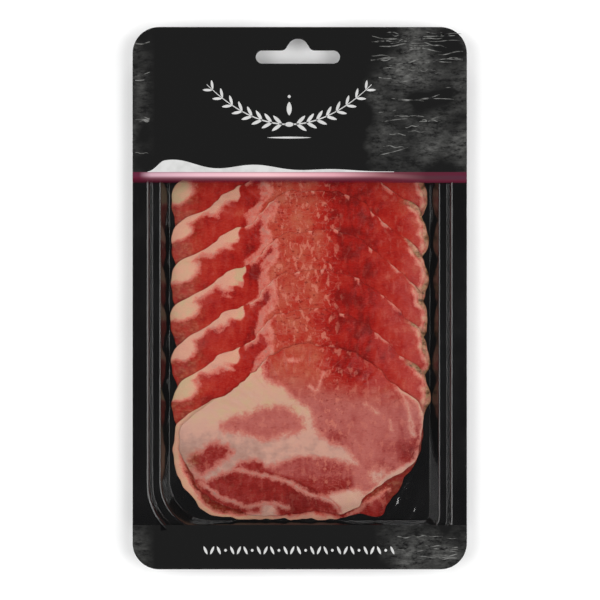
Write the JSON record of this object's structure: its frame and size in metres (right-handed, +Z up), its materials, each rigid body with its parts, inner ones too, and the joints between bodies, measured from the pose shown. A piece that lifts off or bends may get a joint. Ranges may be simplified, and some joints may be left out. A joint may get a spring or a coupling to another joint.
{
  "type": "tray pack of sliced coppa",
  "caption": "Flat retail pack: a black formed tray with a wide head and hanging slot, shingled slices of cured pork neck, and a clear film sealed over them.",
  "frame": {"origin": "on the surface the pack rests on, under the centre of its outline", "axes": "+X across the pack, +Y along it towards the head with the hanging slot, +Z up out of the film side"},
  "size_m": [0.127, 0.206, 0.0106],
  "materials": {
    "tray_plastic": "black thermoformed polyester sheet, glossy",
    "clear_film": "clear lidding film, glossy, between the printed head and foot",
    "printed_film": "lidding film reverse-printed in opaque black, with a narrow wine-red stripe",
    "cured_meat": "moist cured pork neck: red lean, cream fat seams and rim"
  },
  "bodies": {
    "root": {"tray": "tray_plastic", "tray_head": "tray_plastic", "film_head": "printed_film", "film_window": "clear_film", "film_foot": "printed_film", "slice_1": "cured_meat", "slice_2": "cured_meat", "slice_3": "cured_meat", "slice_4": "cured_meat", "slice_5": "cured_meat", "slice_6": "cured_meat", "slice_7": "cured_meat", "slice_8": "cured_meat"}
  },
  "joints": []
}
